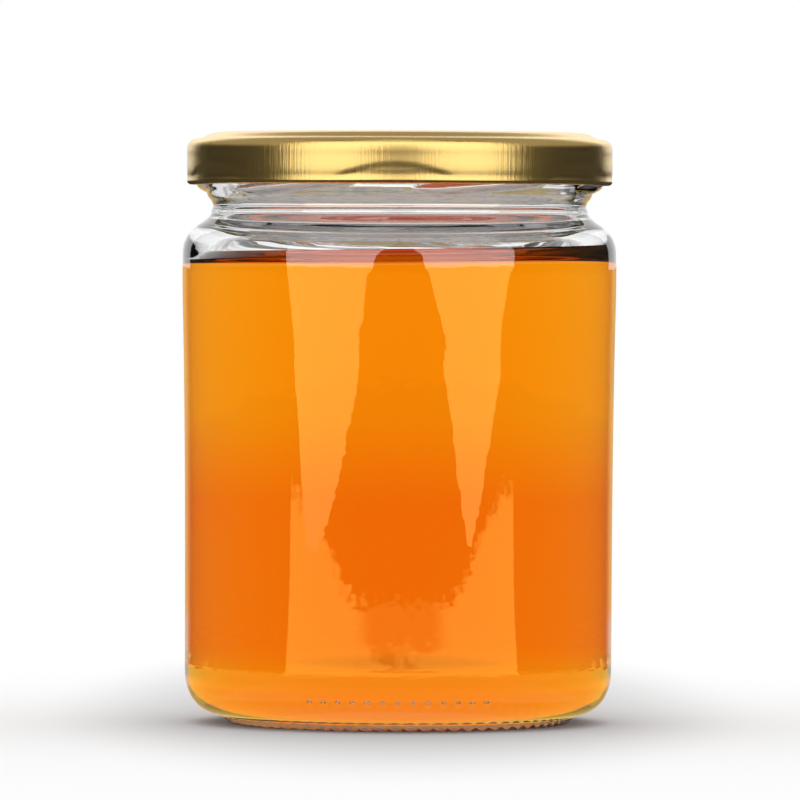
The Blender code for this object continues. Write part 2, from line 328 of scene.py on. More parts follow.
def inner_line(glass):
    """The inside of the glass from the rim down to the middle of its floor."""
    high, low = glass.body_radius - glass.wall, glass.low_radius - glass.wall
    lip = [(37.4 * MM, RIM_TOP), (36.6 * MM, 118.1 * MM), (36.1 * MM, 117.2 * MM), (36 * MM, 116 * MM)]
    neck = [(36.1, 114), (36.1, 110.5), (35.95, 109), (35.5, 107.3), (35.15, 105.8), (35.0, 104.4)]
    neck += [(35.05, 102.8), (35.35, 101.0), (36.2, 99.3)]
    shoulder = ellipse((high - 4.6 * MM, 92.6 * MM), (4.6 * MM, 6.0 * MM), 70, 12, 6)
    shoulder += [(high, 91.5 * MM)] + wall_line(glass, glass.wall)[::-1] + [(low, 18 * MM), (low, 15 * MM)]
    heel = ellipse((low - 9.2 * MM, 13 * MM), (9.2 * MM, 7.9 * MM), 0, -86, 8)
    floor = [(24 * MM, 5.35 * MM), (12 * MM, 6.1 * MM), (0, 6.4 * MM)]
    return lip + [(r * MM, z * MM) for r, z in neck] + shoulder + heel + floor


def glass_step(radius, height):
    """Finer steps at the foot and the neck than along the body and under the base."""
    if radius < BASE_RADIUS:
        return BASE_STEP
    for top, step in GLASS_STEPS:
        if height < top:
            return step
    if radius < NECK_WALL:
        return BORE_STEP
    return THREADS_STEP if height < THREADS_TOP else RIM_STEP


def inner_curve(glass):
    """The inside of the glass as the wall and the honey share it."""
    return curve_through(inner_line(glass), glass_step)


def thread_relief(angle, height, glass):
    """How far the threads stand out of the neck at a place on it."""
    relief = 0.0
    for start in range(glass.starts):
        tip = THREAD_TIP + math.tau * start / glass.starts
        along = (angle - tip) % math.tau / THREAD_SPAN
        if along > 1:
            continue
        step = THREAD_STEP * ease((along - STEP_START) / STEP_LENGTH)
        lower = THREAD_LOW + THREAD_CLIMB * max(along - THREAD_LEVEL, 0) + step
        full = math.sqrt(min(along / RUN_IN, (1 - along) / RUN_OUT, 1.0))
        half = THREAD_WIDTH / 2 * max(full, THIN_END)
        middle = lower + THREAD_WIDTH / 2 + END_LIFT * (1 - full)
        across = (height - middle) / half
        if abs(across) < 1:
            reach = glass.thread_reach - NECK_RADIUS
            relief = max(relief, reach * full * (1 - across * across) ** THREAD_ROUND)
    return relief


def shape_foot(mesh, glass):
    """Turns the foot's plain ring into a row of small crescent pads."""
    for vertex in mesh.vertices:
        point = vertex.co
        radius = math.hypot(point.x, point.y)
        side = (radius - FOOT_MIDDLE) / FOOT_HALF
        if abs(side) >= 1 or point.z > FOOT_TOP:
            continue
        phase = bearing(point) * glass.pads + PAD_SLANT * side + PAD_CURVE * side * side
        groove = 0.5 - 0.5 * math.cos(phase)
        fade = (1 - side * side) ** PAD_FADE
        point.z += glass.pad_relief * fade * groove ** PAD_GROOVE


def shape_neck(mesh, glass):
    """Raises the threads out of the neck's outer wall."""
    for vertex in mesh.vertices:
        point = vertex.co
        radius = math.hypot(point.x, point.y)
        if not NECK_LOW <= point.z <= NECK_HIGH or radius < NECK_WALL:
            continue
        angle = bearing(point)
        relief = thread_relief(angle, point.z, glass)
        if relief > 0:
            set_polar(point, angle, radius + relief, point.z)


def fine_wave(angle, height):
    """Smooth unevenness round the jar, from about -1 to 1."""
    place = (WAVE_TURN * math.sin(angle), WAVE_TURN * math.cos(angle), height * WAVE_CLIMB)
    return noise.noise(Vector(place))


def wall_wave(angle, height):
    """How far the inner wall stands off its even radius."""
    return WAVE * INNER_SHARE * fine_wave(angle, height) * ease((INNER_TOP - height) / INNER_FADE)


def shape_walls(mesh):
    """Gives the body the slightly uneven walls that pressed glass has."""
    for vertex in mesh.vertices:
        point = vertex.co
        radius = math.hypot(point.x, point.y)
        if radius < WAVE_RADIUS or not OUTER_LOW <= point.z <= OUTER_TOP:
            continue
        angle = bearing(point)
        if radius < INNER_RADIUS and point.z < INNER_TOP:
            radius += wall_wave(angle, point.z)
        else:
            fade = ease((OUTER_TOP - point.z) / OUTER_FADE)
            radius -= WAVE * fade * OUTER_SHARE * (1 + fine_wave(angle, point.z))
        set_polar(point, angle, radius, point.z)


def raise_dots(piece, glass):
    """Refines the front of the heel and raises the row of dots from it."""
    half_row = (glass.dots - 1) / 2 * DOT_PITCH
    mesh = piece.data
    start_afresh()
    piece.select_set(True)
    bpy.context.view_layer.objects.active = piece
    bpy.ops.object.mode_set(mode="EDIT")
    bpy.ops.mesh.select_mode(type="FACE")
    bpy.ops.mesh.select_all(action="DESELECT")
    bpy.ops.object.mode_set(mode="OBJECT")
    for face in mesh.polygons:
        centre = face.center
        level = abs(centre.z - DOT_HEIGHT) < DOT_BELT and abs(centre.x) < half_row + DOT_MARGIN
        front = centre.y < 0 and face.normal.y < -0.3 and centre.to_2d().length > HEEL_INSIDE
        face.select = level and front
    bpy.ops.object.mode_set(mode="EDIT")
    bpy.ops.mesh.subdivide(number_cuts=DOT_CUTS, smoothness=0)
    bpy.ops.object.mode_set(mode="OBJECT")
    for vertex in mesh.vertices:
        if not vertex.select:
            continue
        point = vertex.co
        radius = math.hypot(point.x, point.y)
        along = bearing(point) * HEEL_RADIUS
        place = round((along + half_row) / DOT_PITCH) * DOT_PITCH - half_row
        away = math.hypot(along - place, (point.z - DOT_HEIGHT) * DOT_STRETCH) / DOT_RADIUS
        if away < 1:
            lift = DOT_RELIEF * (1 - away * away) ** DOT_ROUND
            outward = Vector((point.x, point.y, -radius * DOT_DROP)).normalized()
            vertex.co = point + outward * lift


def mark_finishes(mesh, honey):
    """Marks the inside of the wall below the honey's edge as wet, and the foot as stippled."""
    for face in mesh.polygons:
        centre, normal = face.center, face.normal
        outward = Vector((centre.x, centre.y, 0)).normalized()
        inside = normal.dot(outward) < -0.3 or normal.z > 0.4
        edge = honey.level + honey.rise + lean_at(centre, honey)
        if inside and FLOOR_LOW < centre.z < edge:
            face.material_index = WET
        elif centre.z < STIPPLE_TOP and abs(centre.to_2d().length - FOOT_MIDDLE) < FOOT_HALF:
            face.material_index = STIPPLED


class JAR_OT_glass(bpy.types.Operator):
    """Turns the glass jar, with its threads, heel dots and foot pads"""

    bl_idname = "honey_jar.glass"
    bl_label = "Add glass"

    def execute(self, context):
        glass = context.scene.honey_jar_glass
        outline = curve_through(outer_line(glass), glass_step) + inner_curve(glass)
        piece = spin_outline("clear_glass_jar", outline, glass.steps)
        shape_foot(piece.data, glass)
        shape_neck(piece.data, glass)
        shape_walls(piece.data)
        raise_dots(piece, glass)
        hand_over(piece, "glass_jar", glass_material(glass))
        piece.data.materials.append(wet_glass_material())
        piece.data.materials.append(foot_material())
        mark_finishes(piece.data, context.scene.honey_jar_honey)
        return {"FINISHED"}


# The honey

HONEY_STEPS = 288
SURFACE_DEPTHS = (0.15, 0.35, 0.6, 0.9, 1.3, 1.8, 2.4, 3.2, 4.2, 5.6, 7.5)  # mm in from the glass
EDGE_GAP = 0.02 * MM
TOP_ZONE = 0.5 * MM  # the surface starts this far below its level
TOP_RADIUS = 38 * MM  # and inside this radius it doesn't follow the wall
REACH_LOW = 8 * MM  # above this the honey reaches out into the wall
SINK_TOP = 12 * MM  # and below this it reaches down


def lean_at(point, honey):
    """How much higher the leaning surface stands at a place than in the middle."""
    return point.x * math.tan(honey.lean)


def honey_outline(glass, honey):
    """The honey from the middle of the floor, up inside the wall, and in over its surface."""
    top = honey.level + honey.rise
    wall = [point for point in reversed(inner_curve(glass)) if point.y < top]
    edge = wall[-1].x
    surface = [(edge - EDGE_GAP, top)]
    for depth in SURFACE_DEPTHS:
        rise = honey.rise * math.exp(-depth * MM / honey.curl)
        surface.append((edge - depth * MM, honey.level + rise))
    return wall + surface + [(26 * MM, honey.level), (12 * MM, honey.level), (0, honey.level)]


class JAR_OT_honey(bpy.types.Operator):
    """Fills the jar with honey up to its level, with the curved edge where it climbs the glass"""

    bl_idname = "honey_jar.honey"
    bl_label = "Add honey"

    def execute(self, context):
        glass = context.scene.honey_jar_glass
        honey = context.scene.honey_jar_honey
        piece = spin_outline("amber_honey", honey_outline(glass, honey), HONEY_STEPS)
        for vertex in piece.data.vertices:
            point = vertex.co
            radius = math.hypot(point.x, point.y)
            on_top = point.z > honey.level - TOP_ZONE
            if on_top:
                point.z += lean_at(point, honey) * ease((point.z - honey.level + TOP_ZONE) / TOP_ZONE)
            if radius > WAVE_RADIUS and not (on_top and radius < TOP_RADIUS):
                angle = bearing(point)
                reach = honey.reach if point.z > REACH_LOW else 0
                set_polar(point, angle, radius + reach + wall_wave(angle, point.z), point.z)
            if point.z < SINK_TOP:
                point.z -= honey.reach
        hand_over(piece, "honey", honey_material(honey))
        return {"FINISHED"}


# The lid

LID_STEPS = 360
# In millimetres, for the lid's outline
PANEL_DEPTH = 0.95
CORNER_WIDE, CORNER_TALL, CORNER_DROP = 1.9, 1.95, 3.35
CURL = 0.72
# In metres
PANEL_RADIUS, PANEL_STEP = 31 * MM, 8 * MM
TOP_FINE_RADIUS, TOP_FINE_STEP, SKIRT_STEP = 42 * MM, 0.4 * MM, 0.55 * MM
SKIRT_DROP, SKIRT_DEPTH = 4 * MM, 3 * MM  # below the top and in from the side, what counts as skirt
LUG_ANGLE = math.radians(-1.5)  # the first lug, measured from the front
LUG_DENT = 0.11 * MM
ARCH_TALL, ARCH_HALF = 3.4 * MM, 13.5 * MM
ARCH_SOFT, ARCH_END = 0.9 * MM, 1.2 * MM  # how softly the arch ends above and at its tips
ARCH_LOW, ARCH_LOW_SOFT = 1.2 * MM, 0.5 * MM  # it starts this far above the curled edge's underside
LUG_HALF, LUG_SOFT = 4.2 * MM, 1.6 * MM
LUG_TOP, LUG_FADE = 1.9 * MM, 0.7 * MM
LUG_REACH = 1.55 * MM  # how far in a lug stands
LINING_LOW, LINING_EDGE = 0.4 * MM, 0.1 * MM
LINED = 1  # place of the lining's material on the piece


def lid_outline(lid):
    """The lid from the middle of its panel out, down the skirt, round the curl and back inside."""
    sheet = lid.sheet / MM
    radius, top, bottom = lid.radius / MM, LID_TOP / MM, LID_BOTTOM / MM
    panel = top - PANEL_DEPTH
    outside = [(0, panel), (15, panel), (31.6, panel), (32.4, panel + 0.1), (32.9, panel + 0.5)]
    ring = [(33.3, top - 0.18), (33.9, top - 0.05), (35.2, top - 0.03), (36.6, top - 0.07)]
    ring += [(37.6, top - 0.22), (38.4, top - 0.45), (39.2, top - 0.85), (39.7, top - 1.12)]
    ring += [(40.2, top - 1.3)]
    centre = (radius - CORNER_WIDE, top - CORNER_DROP)
    corner = ellipse(centre, (CORNER_WIDE, CORNER_TALL), 84, 0, 8)
    skirt = [(radius, top - 5), (radius, bottom + 2.4), (radius - 0.06, bottom + 1.5)]
    curl = ellipse((radius - CURL, bottom + CURL), (CURL, CURL), 20, -200, 12)
    back = radius - sheet
    inside = [(back - 0.35, bottom + 1.65), (back, bottom + 2.4), (back, top - 5)]
    under = ellipse(centre, (CORNER_WIDE - sheet, CORNER_TALL - sheet), 0, 84, 6)
    top, panel = top - sheet, panel - sheet
    hollow = [(40.1, top - 1.3), (39.3, top - 1.2), (38.3, top - 0.5), (37.3, top - 0.06), (35.2, top)]
    hollow += [(34.0, top), (33.5, top - 0.3), (33.1, panel + 0.3), (32.5, panel), (15, panel), (0, panel)]
    points = outside + ring + corner + skirt + curl + inside + under + hollow
    return [(r * MM, z * MM) for r, z in points]


def lid_step(radius, height):
    """Finer steps over the lid's edges than along its flat stretches."""
    if radius < PANEL_RADIUS:
        return PANEL_STEP
    on_top = radius < TOP_FINE_RADIUS and height > LID_TOP - SKIRT_DROP
    return TOP_FINE_STEP if on_top else SKIRT_STEP


def shape_skirt(mesh, lid):
    """Presses a shallow arch into the skirt above each lug and draws the curl in to form the lug."""
    pitch = math.tau / lid.lugs
    for vertex in mesh.vertices:
        point = vertex.co
        radius = math.hypot(point.x, point.y)
        if point.z > LID_TOP - SKIRT_DROP or radius < lid.radius - SKIRT_DEPTH:
            continue
        angle = bearing(point)
        off = (angle - LUG_ANGLE + pitch / 2) % pitch - pitch / 2
        along = off * lid.radius
        up = point.z - LID_BOTTOM
        arch = ARCH_TALL * max(1 - (along / ARCH_HALF) ** 2, 0)
        if up > ARCH_LOW:
            depth = LUG_DENT * ease((arch - up + ARCH_SOFT) / ARCH_SOFT) * ease(arch / ARCH_END)
            radius -= depth * ease((up - ARCH_LOW) / ARCH_LOW_SOFT)
        tongue = ease((LUG_HALF - abs(along)) / LUG_SOFT)
        if tongue > 0 and up < LUG_TOP and radius < lid.radius - CURL * MM:
            radius -= LUG_REACH * tongue * ease((LUG_TOP - up) / LUG_FADE)
        set_polar(point, angle, radius, point.z)


def mark_lining(mesh, lid):
    """Gives the inside of the lid its pale lining, down to just above the curled edge."""
    for face in mesh.polygons:
        centre, normal = face.center, face.normal
        outward = Vector((centre.x, centre.y, 0)).normalized()
        inside = normal.z < -0.5 or (normal.dot(outward) < -0.3 and normal.z < 0.2)
        within = centre.to_2d().length < lid.radius - LINING_EDGE
        if inside and within and centre.z > LID_BOTTOM + LINING_LOW:
            face.material_index = LINED


class JAR_OT_lid(bpy.types.Operator):
    """Turns the gold lid with its raised ring, skirt, curled edge and lugs"""

    bl_idname = "honey_jar.lid"
    bl_label = "Add lid"

    def execute(self, context):
        lid = context.scene.honey_jar_lid
        piece = spin_outline("gold_lid", curve_through(lid_outline(lid), lid_step), LID_STEPS)
        shape_skirt(piece.data, lid)
        hand_over(piece, "lid", gold_material(lid))
        piece.data.materials.append(lining_material())
        mark_lining(piece.data, lid)
        return {"FINISHED"}


# Materials

# Fine unevenness of each surface, as stretch along X, Y and Z, detail, strength and depth
GLASS_RIPPLE = ((160, 160, 160), 2, 0.02, 0.0004)
FOOT_RIPPLE = ((900, 900, 900), 3, 0.5, 0.0004)
HONEY_RIPPLE = ((300, 300, 300), 2, 0.02, 0.0004)
GOLD_RIPPLE = ((2400, 2400, 90), 4, 0.22, 0.0002)
GLASS_IOR, HONEY_IOR = 1.52, 1.49
WHITE, BLACK = (1, 1, 1, 1), (0, 0, 0, 1)
FOOT_COLOUR = (0.72, 0.72, 0.64, 1)
FOOT_ROUGHNESS, FOOT_THROUGH = 0.12, 0.55

# Painted shade: how light the honey's skin is painted at heights up it, dimmest between about 15 and 45 mm,
# and how much red it keeps where it is dimmer
HONEY_PAINTED_SHADE = ((0.0115, 0.78), (0.0145, 0.60), (0.045, 0.58), (0.062, 0.93), (0.09, 1.0))
HONEY_TALL = 0.1
RED_HOLD = 0.94
HONEY_CLOUD, CLOUD_LIFT = (60, 4), 0.004  # noise scale and detail, and how far it moves the heights
# Painted shade: a darker, redder colour on the edge that climbs the glass, for the dark brown band that
# shows along it.
CLIMB_SHADE_COLOUR = (0.97, 0.42, 0.25, 1)  # the thin edge that climbs the glass
CLIMB_START, CLIMB_FULL = 0.4 * MM, 1.2 * MM
SKIN_SHINE = (0.6, 0.2, 0.0, 1)
TOP_SHINE = (0.7, 0.62, 0.55, 1)  # of the flat top, which the heights over the level pick out
TOP_FROM, TOP_TO = (-0.3 * MM, -0.1 * MM), (0.1 * MM, 0.5 * MM)

LINING_CLOUD = (420, 5)
LINING_STOPS = ((0.38, (0.62, 0.66, 0.74, 1)), (0.6, (0.95, 0.95, 0.95, 1)))
LINING_GLOW = 0.2


def new_material(name):
    material = bpy.data.materials.new(name)
    material.use_nodes = True
    return material, material.node_tree.nodes, material.node_tree.links


def node_maths(nodes, links):
    """Short ways to add a Math node, a soft step up and a soft step down."""

    def maths(operation, first, second=None, third=None):
        node = nodes.new("ShaderNodeMath")
        node.operation = operation
        for socket, value in zip(node.inputs, (first, second, third)):
            if value is None:
                continue
            if isinstance(value, (int, float)):
                socket.default_value = value
            else:
                links.new(value, socket)
        return node.outputs[0]

    def rise(value, low, high):
        """0 below low and 1 above high, with a soft edge between."""
        node = nodes.new("ShaderNodeMapRange")
        node.interpolation_type = "SMOOTHSTEP"
        links.new(value, node.inputs["Value"])
        node.inputs["From Min"].default_value = low
        node.inputs["From Max"].default_value = high
        return node.outputs["Result"]

    def fall(value, low, high):
        return maths("SUBTRACT", 1, rise(value, low, high))

    return maths, rise, fall


def mix_colours(nodes, links, share, first, second):
    """Goes from the first colour to the second. Each is a constant or a socket."""
    node = nodes.new("ShaderNodeMix")
    node.data_type = "RGBA"
    links.new(share, node.inputs["Factor"])
    for name, colour in (("A", first), ("B", second)):
        if isinstance(colour, tuple):
            node.inputs[name].default_value = colour
        else:
            links.new(colour, node.inputs[name])
    return node.outputs["Result"]


def mix_shaders(nodes, links, share, first, second):
    node = nodes.new("ShaderNodeMixShader")
    for socket, source in zip(node.inputs, (share, first, second)):
        links.new(source, socket)
    return node.outputs["Shader"]


def split_place(nodes, links, place):
    """The X, Y and Z of a place."""
    node = nodes.new("ShaderNodeSeparateXYZ")
    links.new(place, node.inputs["Vector"])
    return node.outputs["X"], node.outputs["Y"], node.outputs["Z"]


def add_cloud(nodes, links, place, scale, detail):
    """Even noise, which lies round a half."""
    node = nodes.new("ShaderNodeTexNoise")
    node.inputs["Scale"].default_value = scale
    node.inputs["Detail"].default_value = detail
    links.new(place, node.inputs["Vector"])
    return node.outputs["Fac"]


def reflected_only(nodes, links):
    """1 for a ray that shines off a surface and 0 for one that has come through glass."""
    path = nodes.new("ShaderNodeLightPath")
    node = nodes.new("ShaderNodeMath")
    node.operation = "SUBTRACT"
    node.use_clamp = True
    links.new(path.outputs["Is Glossy Ray"], node.inputs[0])
    links.new(path.outputs["Is Transmission Ray"], node.inputs[1])
    return node.outputs[0]


def ripple_group():
    """Fine unevenness of a pressed, rolled or poured surface, as a height for a Bump node."""
    name = "Surface ripple"
    if name in bpy.data.node_groups:
        return bpy.data.node_groups[name]
    group = bpy.data.node_groups.new(name, "ShaderNodeTree")
    sockets = group.interface
    sockets.new_socket("Stretch", in_out="INPUT", socket_type="NodeSocketVector")
    sockets.new_socket("Detail", in_out="INPUT", socket_type="NodeSocketFloat")
    sockets.new_socket("Height", in_out="OUTPUT", socket_type="NodeSocketFloat")
    nodes, links = group.nodes, group.links
    given = nodes.new("NodeGroupInput")
    place = nodes.new("ShaderNodeTexCoord")
    stretch = nodes.new("ShaderNodeVectorMath")
    stretch.operation = "MULTIPLY"
    cloud = nodes.new("ShaderNodeTexNoise")
    cloud.inputs["Scale"].default_value = 1.0
    result = nodes.new("NodeGroupOutput")
    links.new(place.outputs["Object"], stretch.inputs[0])
    links.new(given.outputs["Stretch"], stretch.inputs[1])
    links.new(stretch.outputs["Vector"], cloud.inputs["Vector"])
    links.new(given.outputs["Detail"], cloud.inputs["Detail"])
    links.new(cloud.outputs["Fac"], result.inputs["Height"])
    return group


def add_ripple(nodes, links, shader, stretch, detail, strength, distance):
    """Feeds the ripple group to a shader's normal through a Bump node."""
    ripple = nodes.new("ShaderNodeGroup")
    ripple.node_tree = ripple_group()
    ripple.inputs["Stretch"].default_value = stretch
    ripple.inputs["Detail"].default_value = detail
    bump = nodes.new("ShaderNodeBump")
    bump.inputs["Strength"].default_value = strength
    bump.inputs["Distance"].default_value = distance
    links.new(ripple.outputs["Height"], bump.inputs["Height"])
    links.new(bump.outputs["Normal"], shader.inputs["Normal"])


def clear_material(name, colour, ior, ripple, roughness=0.0, through=1.0):
    """A material that lets light through. A colour of None is left to be linked."""
    material, nodes, links = new_material(name)
    shader = nodes["Principled BSDF"]
    if colour is not None:
        shader.inputs["Base Color"].default_value = colour
    shader.inputs["Roughness"].default_value = roughness
    shader.inputs["IOR"].default_value = ior
    shader.inputs["Transmission Weight"].default_value = through
    add_ripple(nodes, links, shader, *ripple)
    return material, shader


def glass_material(glass):
    return clear_material("Clear pressed glass", glass.tint, GLASS_IOR, GLASS_RIPPLE)[0]


def wet_glass_material():
    """Glass with honey against it, which has hardly any shine of its own."""
    material, shader = clear_material("Glass wet with honey", WHITE, GLASS_IOR, GLASS_RIPPLE)
    shader.inputs["Specular Tint"].default_value = BLACK
    return material


def foot_material():
    """Stippled glass of the foot, which scatters some light."""
    return clear_material(
        "Stippled foot glass", FOOT_COLOUR, GLASS_IOR, FOOT_RIPPLE, FOOT_ROUGHNESS, FOOT_THROUGH)[0]


def honey_material(honey):
    """Amber all through, with painted shade that makes it dimmer low down, and a painted darker, redder
    colour on the edge that climbs the glass.
    """
    material, shader = clear_material("Clear amber honey", None, HONEY_IOR, HONEY_RIPPLE)
    nodes, links = material.node_tree.nodes, material.node_tree.links
    maths, rise, fall = node_maths(nodes, links)
    place = nodes.new("ShaderNodeTexCoord").outputs["Object"]
    along, _, height = split_place(nodes, links, place)
    # Painted shade: a ramp dims the skin's colour by height, and noise moves the heights a little.
    uneven = maths("SUBTRACT", add_cloud(nodes, links, place, *HONEY_CLOUD), 0.5)
    ramp = nodes.new("ShaderNodeValToRGB")
    stops = ramp.color_ramp.elements
    for index, (at, share) in enumerate(HONEY_PAINTED_SHADE):
        stop = stops[index] if index < 2 else stops.new(at / HONEY_TALL)
        stop.position = at / HONEY_TALL
        red = honey.warmth[0] * (RED_HOLD + (1 - RED_HOLD) * share)
        stop.color = (red, honey.warmth[1] * share, honey.warmth[2] * share, 1)
    moved = maths("MULTIPLY_ADD", uneven, CLOUD_LIFT, height)
    links.new(maths("DIVIDE", moved, HONEY_TALL), ramp.inputs["Fac"])
    level = maths("MULTIPLY_ADD", along, -math.tan(honey.lean), height)
    # Painted shade on the edge that climbs the glass: its colour turns darker and redder there.
    climb = rise(level, honey.level + CLIMB_START, honey.level + CLIMB_FULL)
    links.new(mix_colours(nodes, links, climb, ramp.outputs["Color"], CLIMB_SHADE_COLOUR),
              shader.inputs["Base Color"])
    over = rise(level, *(honey.level + edge for edge in TOP_FROM))
    flat = maths("MULTIPLY", fall(level, *(honey.level + edge for edge in TOP_TO)), over)
    links.new(mix_colours(nodes, links, flat, SKIN_SHINE, TOP_SHINE), shader.inputs["Specular Tint"])
    inside = nodes.new("ShaderNodeVolumeAbsorption")
    inside.inputs["Color"].default_value = honey.colour
    inside.inputs["Density"].default_value = honey.density
    links.new(inside.outputs["Volume"], nodes["Material Output"].inputs["Volume"])
    return material


def gold_material(lid):
    material, nodes, links = new_material("Gold lacquered metal")
    shader = nodes["Principled BSDF"]
    shader.inputs["Base Color"].default_value = lid.gold
    shader.inputs["Metallic"].default_value = 1.0
    shader.inputs["Roughness"].default_value = lid.roughness
    shader.inputs["Coat Weight"].default_value = 0.1
    shader.inputs["Coat Roughness"].default_value = 0.12
    add_ripple(nodes, links, shader, *GOLD_RIPPLE)
    return material


def lining_material():
    """The mottled pale inside of the lid. A slight glow stands for light that has bounced about there."""
    material, nodes, links = new_material("Pale lid lining")
    shader = nodes["Principled BSDF"]
    place = nodes.new("ShaderNodeTexCoord").outputs["Object"]
    ramp = nodes.new("ShaderNodeValToRGB")
    for stop, (position, colour) in zip(ramp.color_ramp.elements, LINING_STOPS):
        stop.position, stop.color = position, colour
    links.new(add_cloud(nodes, links, place, *LINING_CLOUD), ramp.inputs["Fac"])
    links.new(ramp.outputs["Color"], shader.inputs["Base Color"])
    shader.inputs["Roughness"].default_value = 0.35
    links.new(ramp.outputs["Color"], shader.inputs["Emission Color"])
    shader.inputs["Emission Strength"].default_value = LINING_GLOW
    return material


# The stage


def turns(low, high):
    """Two angles in degrees as radians."""
    return math.radians(low), math.radians(high)


# The camera, which looks at the front from a little above the middle
EYE = Vector((0.0001, -1.69, 0.0955))
LENS, SENSOR = 376.7, 36
AIM_DOWN = math.radians(1.03)
ROLL = math.radians(0.2)

# Each softbox as rows of height, left bearing and right bearing, seen from the jar
SOFTBOX_LEFT = (
    (-0.005, -49.0, -47.5), (0.0055, -50.3, -37.7), (0.0145, -52.2, -31.4), (0.027, -54.7, -22.1),
    (0.0384, -57.3, -18.4), (0.085, -60.0, -16.3), (0.094, -60.3, -13.7), (0.12, -60.6, -12),
    (0.25, -61, -9), (0.45, -61, -5), (0.7, -61, -0.5), (1.3, -61, -0.5),
)
SOFTBOX_RIGHT = (
    (-0.003, 37.0, 38.0), (0.0034, 35.6, 39.6), (0.021, 28.3, 48.8), (0.0326, 22.8, 53.9),
    (0.050, 18.9, 56.0), (0.085, 15.0, 59.0), (0.094, 13.2, 61.4), (0.12, 12, 62),
    (0.25, 9, 62), (0.45, 5, 62), (0.7, 0.5, 62), (1.3, 0.5, 62),
)
SOFTBOX_DISTANCE = 0.9
SOFTBOX_COLUMNS = 12
GOLD_SHINE = (4.5, 3.2, 0.8, 1)  # what a softbox shows in glass that has honey behind it
HONEY_BAND = (0.094, 0.1)  # height on a softbox at which its image leaves the honey
BLURRED_GLOW, SHARP_LOSS = 1.4, 0.4  # brightness in blurred shine, and how much less in sharp shine
SHOULDER_GLOW = 4.0  # brighter in the sharp shine of the bare shoulder and neck
SHOULDER_BAND, SHOULDER_LOSS = (0.2, 0.45), 0.8  # less of it from this height up

OVERHEAD_PLACE, OVERHEAD_SIZE = (0, 0.4, 1.3), 1.1

# The world round the jar, by how far round from straight behind and how far up
BACK_SIDE, BACK_TOP = turns(31, 33), turns(24, 40)
ROOM_GLOW = 0.02
FRONT_SIDE = turns(125, 150)
ABOVE_LOW, ABOVE_SIDE, ABOVE_GLOW = turns(7, 24), turns(100, 125), 0.3
CEILING_LOW, CEILING_LOSS = turns(35, 65), 0.75

FLOOR_RADIUS, FLOOR_WHITE = 60, 0.87
# The painted shade round the foot, an ellipse that reaches back
SHADE_BACK, SHADE_DEEP = 0.07, 3.6
SHADE_BAND, SHADE_LEFT = (0.035, 0.078), 0.75
HAZE_BAND, HAZE_THROUGH = (0.12, 0.45), 0.7  # where the floor turns plain white, and through glass
# The lit part of the table that shows in sharp shine, by bearing from its middle and by distance
TABLE_MIDDLE = math.radians(2)
TABLE_CLOUD, TABLE_UNEVEN = (22, 6), 0.35
TABLE_WIDEN, TABLE_REACH, TABLE_MORE = turns(22, 58), 0.62, 0.6
TABLE_EDGE, TABLE_SIDE = (0.93, 1.07), turns(60.5, 61.5)
TABLE_START = (0.12, 0.3)
SPOT_FAR, SPOT_SIDE, SPOT_LOSS = (0.33, 0.42), turns(14, 26), 0.7  # a dimmer spot in its middle
NEAR_BAND, NEAR_GLOW = (0.25, 0.29), 0.34
TABLE_SHINE = (1.3, 0.92, 0.16, 1)
TABLE_DARK = (0.015, 0.015, 0.015, 1)
# The floor behind the jar, as its sides show it in sharp shine
BEHIND_EDGE, BEHIND_SIDE, BEHIND_START = 0.043, turns(17, 32), (-0.02, 0.0)
PALE_NEAR, PALE_FAR = (0.07, 0.09), (0.4, 0.6)
PALE_END = (0.3, 0.2, 0.08, 1)
PALE_SHINE = (0.28, 0.25, 0.2, 1)


def add_camera():
    bpy.ops.object.camera_add(location=EYE)
    camera = bpy.context.object
    camera.name = "camera"
    camera.data.lens = LENS
    camera.data.sensor_width = SENSOR
    camera.data.clip_start, camera.data.clip_end = 0.01, 100
    camera.rotation_mode = "XYZ"
    camera.rotation_euler = (math.pi / 2 - AIM_DOWN, -ROLL, 0)
    bpy.context.scene.camera = camera


def softbox_material(name, strength):
    """Plain white, but gold where sharp shine shows it in front of honey, and brighter above that."""
    material, nodes, links = new_material(name)
    nodes.remove(nodes["Principled BSDF"])
    maths, rise, fall = node_maths(nodes, links)
    sharp = nodes.new("ShaderNodeLightPath").outputs["Is Singular Ray"]
    place = nodes.new("ShaderNodeNewGeometry").outputs["Position"]
    _, _, height = split_place(nodes, links, place)
    glow = nodes.new("ShaderNodeEmission")
    golden = maths("MULTIPLY", fall(height, *HONEY_BAND), sharp)
    links.new(mix_colours(nodes, links, golden, WHITE, GOLD_SHINE), glow.inputs["Color"])
    kept = maths("SUBTRACT", 1, maths("MULTIPLY", rise(height, *SHOULDER_BAND), SHOULDER_LOSS))
    high = maths("MULTIPLY", rise(height, *HONEY_BAND), SHOULDER_GLOW * strength)
    more = maths("SUBTRACT", maths("MULTIPLY", high, kept), SHARP_LOSS * strength)
    links.new(maths("MULTIPLY_ADD", sharp, more, BLURRED_GLOW * strength), glow.inputs["Strength"])
    links.new(glow.outputs["Emission"], nodes["Material Output"].inputs["Surface"])
    return material


